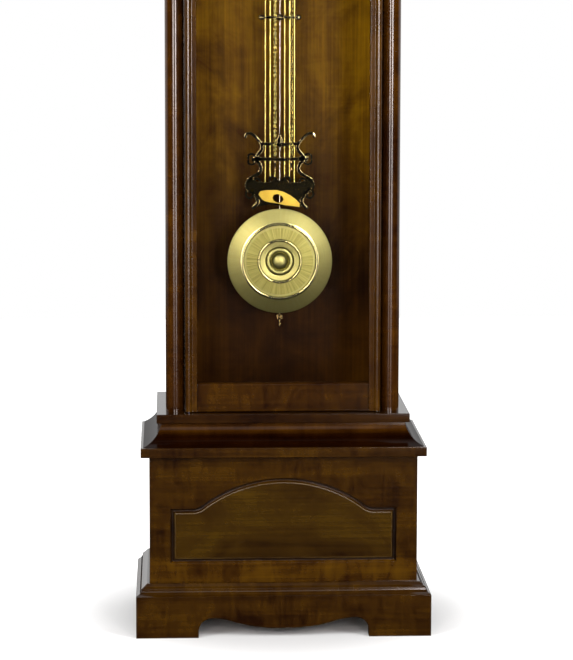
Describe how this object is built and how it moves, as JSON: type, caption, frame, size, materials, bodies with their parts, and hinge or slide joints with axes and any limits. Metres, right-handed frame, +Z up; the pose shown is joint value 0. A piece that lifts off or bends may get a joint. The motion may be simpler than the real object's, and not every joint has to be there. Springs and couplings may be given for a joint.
{
  "type": "longcase clock",
  "caption": "Dark wood longcase floor clock with a glazed trunk door, lyre pendulum with a round ringed bob, chain-hung weights, arched groove base panel and scalloped plinth.",
  "frame": {"origin": "on the floor, in the middle of the case's width and depth", "axes": "+X to the right of the clock as it is looked at, -Y to its front, +Z up"},
  "size_m": [0.52, 0.3, 2.0999],
  "materials": {
    "dark_wood": "dark brown stain under a clear high-gloss lacquer",
    "figured_wood": "figured veneer, dark stain under a clear high-gloss lacquer",
    "back_wood": "plywood stained brown, satin lacquer",
    "pale_wood": "plain sanded board, unpainted",
    "brass": "polished and lacquered",
    "steel": "plain bright steel",
    "silvered_metal": "satin silvered, fine circular grain",
    "dial_metal": "satin gold-coloured enamel",
    "black_metal": "gloss black enamel",
    "clear_glass": "clear, polished, 3 mm"
  },
  "bodies": {
    "case": {"plinth_front": "dark_wood", "plinth_sides": "dark_wood", "base_front_panel": "dark_wood", "base_sides": "dark_wood", "base_top_board": "dark_wood", "waist_cove": "dark_wood", "trunk_sill_board": "dark_wood", "back_panel": "back_wood", "trunk_side_left": "dark_wood", "trunk_side_right": "dark_wood", "trunk_column_left": "dark_wood", "trunk_column_right": "dark_wood", "trunk_face_frame": "dark_wood", "neck_cove": "dark_wood", "hood_floor_frame": "dark_wood", "hood_sides": "dark_wood", "hood_top_board": "dark_wood", "pediment_board": "dark_wood", "cornice_mouldings": "dark_wood", "seat_board": "pale_wood", "door_pivot_pins": "brass", "dial_plate": "dial_metal", "chapter_ring": "silvered_metal", "gong_rods": "steel", "front_plate": "brass", "back_plate": "brass", "chain_turns": "brass"},
    "trunk_door": {"trunk_door_stile_left": "dark_wood", "trunk_door_stile_right": "dark_wood", "trunk_door_bottom_rail": "figured_wood", "trunk_door_top_rail": "figured_wood", "trunk_glass": "clear_glass", "trunk_door_knob": "brass"},
    "hood_door": {"hood_door_frame": "dark_wood", "hood_glass": "clear_glass", "hood_door_knob": "brass"},
    "pendulum": {"suspension_hook": "steel", "pendulum_rods": "brass", "lyre_fret": "brass", "pendulum_bob": "brass"},
    "rating_nut": {"rating_nut": "brass"},
    "minute_hand": {"minute_hand": "black_metal"},
    "hour_hand": {"hour_hand": "black_metal"},
    "minute_wheel": {"minute_wheel": "brass"},
    "centre_wheel": {"centre_wheel": "brass"},
    "third_wheel": {"third_wheel": "brass"},
    "escape_wheel": {"escape_wheel": "brass"},
    "anchor": {"anchor": "steel"},
    "intermediate_wheel": {"intermediate_wheel": "brass"},
    "time_great_wheel": {"time_great_wheel": "brass"},
    "time_sprocket": {"time_sprocket": "brass"},
    "strike_great_wheel": {"strike_great_wheel": "brass"},
    "strike_pin_wheel": {"strike_pin_wheel": "brass"},
    "hammer": {"hammer": "steel"},
    "time_weight": {"time_weight": "brass", "time_chain_loaded": "brass"},
    "strike_weight": {"strike_weight": "brass", "strike_chain_loaded": "brass"},
    "time_chain_end": {"time_chain_free": "brass"},
    "strike_chain_end": {"strike_chain_free": "brass"}
  },
  "joints": [
    {"name": "trunk_door_hinge", "type": "hinge", "parent": "case", "child": "trunk_door", "pos_m": [-0.166, -0.092, 0.86], "axis": [0, 0, 1], "range_deg": [-100, 0]},
    {"name": "hood_door_hinge", "type": "hinge", "parent": "case", "child": "hood_door", "pos_m": [-0.227, -0.117, 1.67], "axis": [0, 0, 1], "range_deg": [-100, 0]},
    {"name": "pendulum_swing", "type": "hinge", "parent": "case", "child": "pendulum", "pos_m": [0, 0.058, 1.65], "axis": [0, 1, 0], "range_deg": [-3, 3]},
    {"name": "anchor_rock", "type": "hinge", "parent": "case", "child": "anchor", "pos_m": [0, 0, 1.65], "axis": [0, 1, 0], "range_deg": [-3.2, 3.2]},
    {"name": "rating_nut_turn", "type": "hinge", "parent": "pendulum", "child": "rating_nut", "pos_m": [0, 0.058, 0.538], "axis": [0, 0, 1], "continuous": true},
    {"name": "minute_hand_turn", "type": "hinge", "parent": "case", "child": "minute_hand", "pos_m": [0, -0.05, 1.6], "axis": [0, 1, 0], "continuous": true},
    {"name": "hour_hand_turn", "type": "hinge", "parent": "case", "child": "hour_hand", "pos_m": [0, -0.05, 1.6], "axis": [0, 1, 0], "continuous": true},
    {"name": "minute_wheel_turn", "type": "hinge", "parent": "case", "child": "minute_wheel", "pos_m": [-0.01018, -0.04, 1.58982], "axis": [0, 1, 0], "continuous": true},
    {"name": "centre_wheel_turn", "type": "hinge", "parent": "case", "child": "centre_wheel", "pos_m": [0, 0, 1.6], "axis": [0, 1, 0], "continuous": true},
    {"name": "third_wheel_turn", "type": "hinge", "parent": "case", "child": "third_wheel", "pos_m": [-0.01572, 0, 1.6161], "axis": [0, 1, 0], "continuous": true},
    {"name": "escape_wheel_turn", "type": "hinge", "parent": "case", "child": "escape_wheel", "pos_m": [0, 0, 1.627], "axis": [0, 1, 0], "continuous": true},
    {"name": "intermediate_wheel_turn", "type": "hinge", "parent": "case", "child": "intermediate_wheel", "pos_m": [0.02606, 0, 1.59687], "axis": [0, 1, 0], "continuous": true},
    {"name": "time_great_wheel_turn", "type": "hinge", "parent": "case", "child": "time_great_wheel", "pos_m": [0.035, 0, 1.562], "axis": [0, 1, 0], "continuous": true},
    {"name": "time_weight_drop", "type": "slide", "parent": "case", "child": "time_weight", "axis": [0, 0, 1], "range_m": [-0.7, 0.1], "deforming": ["time_chain_loaded"]},
    {"name": "time_sprocket_turn", "type": "hinge", "parent": "case", "child": "time_sprocket", "pos_m": [0.035, -0.002, 1.562], "axis": [0, 1, 0], "continuous": true},
    {"name": "time_chain_end_rise", "type": "slide", "parent": "case", "child": "time_chain_end", "axis": [0, 0, 1], "range_m": [-0.101, 0.701], "deforming": ["time_chain_free"]},
    {"name": "strike_weight_drop", "type": "slide", "parent": "case", "child": "strike_weight", "axis": [0, 0, 1], "range_m": [-0.7, 0.1], "deforming": ["strike_chain_loaded"]},
    {"name": "strike_great_wheel_turn", "type": "hinge", "parent": "case", "child": "strike_great_wheel", "pos_m": [-0.028, 0, 1.562], "axis": [0, 1, 0], "continuous": true},
    {"name": "strike_pin_wheel_turn", "type": "hinge", "parent": "case", "child": "strike_pin_wheel", "pos_m": [-0.05062, 0, 1.59001], "axis": [0, 1, 0], "continuous": true},
    {"name": "strike_chain_end_rise", "type": "slide", "parent": "case", "child": "strike_chain_end", "axis": [0, 0, 1], "range_m": [-0.101, 0.701], "deforming": ["strike_chain_free"]},
    {"name": "hammer_lift", "type": "hinge", "parent": "case", "child": "hammer", "pos_m": [-0.066, 0.05, 1.614], "axis": [0, 1, 0], "range_deg": [0, 12], "stiffness_Nm_per_rad": 0.05, "springref_deg": -17.19}
  ],
  "couplings": [
    {"joint": "anchor_rock", "follows": "pendulum_swing", "ratio": 1},
    {"joint": "hour_hand_turn", "follows": "minute_hand_turn", "ratio": 0.083333},
    {"joint": "minute_wheel_turn", "follows": "minute_hand_turn", "ratio": -0.33333},
    {"joint": "centre_wheel_turn", "follows": "minute_hand_turn", "ratio": 1},
    {"joint": "third_wheel_turn", "follows": "minute_hand_turn", "ratio": -8},
    {"joint": "escape_wheel_turn", "follows": "minute_hand_turn", "ratio": 60},
    {"joint": "intermediate_wheel_turn", "follows": "minute_hand_turn", "ratio": -0.25},
    {"joint": "time_great_wheel_turn", "follows": "minute_hand_turn", "ratio": 0.05},
    {"joint": "time_sprocket_turn", "follows": "time_weight_drop", "rad_per_m": -58.824},
    {"joint": "time_chain_end_rise", "follows": "time_weight_drop", "ratio": -1},
    {"joint": "strike_great_wheel_turn", "follows": "strike_weight_drop", "rad_per_m": 58.824},
    {"joint": "strike_pin_wheel_turn", "follows": "strike_weight_drop", "rad_per_m": -294.12},
    {"joint": "strike_chain_end_rise", "follows": "strike_weight_drop", "ratio": -1}
  ]
}
